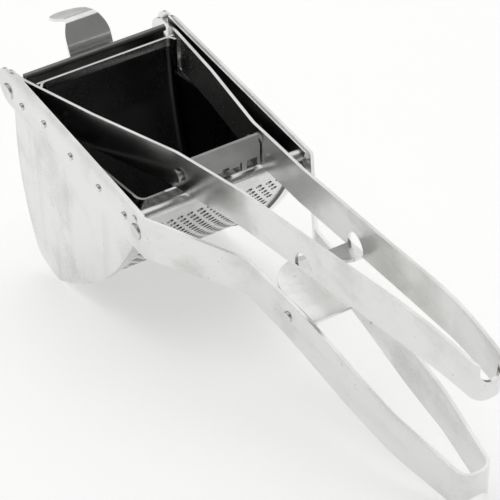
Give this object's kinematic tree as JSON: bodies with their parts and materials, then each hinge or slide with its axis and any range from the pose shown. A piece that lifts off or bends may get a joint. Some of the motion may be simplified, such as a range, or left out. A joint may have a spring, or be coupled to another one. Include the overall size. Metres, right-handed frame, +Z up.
{
  "type": "potato ricer",
  "caption": "Hand potato ricer: perforated steel hopper on a long strap handle, with a hinged lever that drives a wedge-shaped presser into it and a hook for a pot's rim.",
  "frame": {"origin": "centre of the bounding box, at the level the tool rests on", "axes": "+X from the hopper towards the end of the handle, +Y to the right of somebody holding the handle and facing the hopper, +Z up; the tool rests on the hopper's toe and the lower handle's end"},
  "size_m": [0.3622, 0.0908, 0.123],
  "materials": {
    "strap_steel": "bright plated, soft reflections",
    "sheet_steel": "bright plated sheet, slightly worn",
    "presser_steel": "bright plated sheet, slightly worn",
    "fastener_steel": "plated"
  },
  "bodies": {
    "hopper": {"side_plate_left": "sheet_steel", "side_plate_right": "sheet_steel", "perforated_wall": "sheet_steel", "handle_strap": "strap_steel", "front_rim_wire": "fastener_steel", "rear_rim_rod": "fastener_steel", "pot_hook": "strap_steel", "pot_hook_rivets": "fastener_steel", "strip_rivets_left": "fastener_steel", "strip_rivets_right": "fastener_steel", "corner_rivet_left": "fastener_steel", "corner_rivet_right": "fastener_steel", "handle_rest": "strap_steel", "handle_rest_rivets": "fastener_steel", "pivot_pin_left": "fastener_steel", "pivot_pin_right": "fastener_steel"},
    "lever": {"lever_strap": "strap_steel", "swivel_rivet_left": "fastener_steel", "swivel_rivet_right": "fastener_steel"},
    "presser": {"presser_shell": "presser_steel", "presser_hinge_bracket": "presser_steel", "presser_bracket_rivets": "fastener_steel"}
  },
  "joints": [
    {"name": "lever_hinge", "type": "hinge", "parent": "hopper", "child": "lever", "pos_m": [-0.15409, 0, 0.09843], "axis": [0, -1, 0], "range_deg": [0, 105]},
    {"name": "presser_swivel", "type": "hinge", "parent": "lever", "child": "presser", "pos_m": [-0.02925, 0, 0.08993], "axis": [0, -1, 0], "range_deg": [0, 16]}
  ],
  "couplings": [
    {"joint": "presser_swivel", "follows": "lever_hinge", "ratio": 0.15}
  ]
}
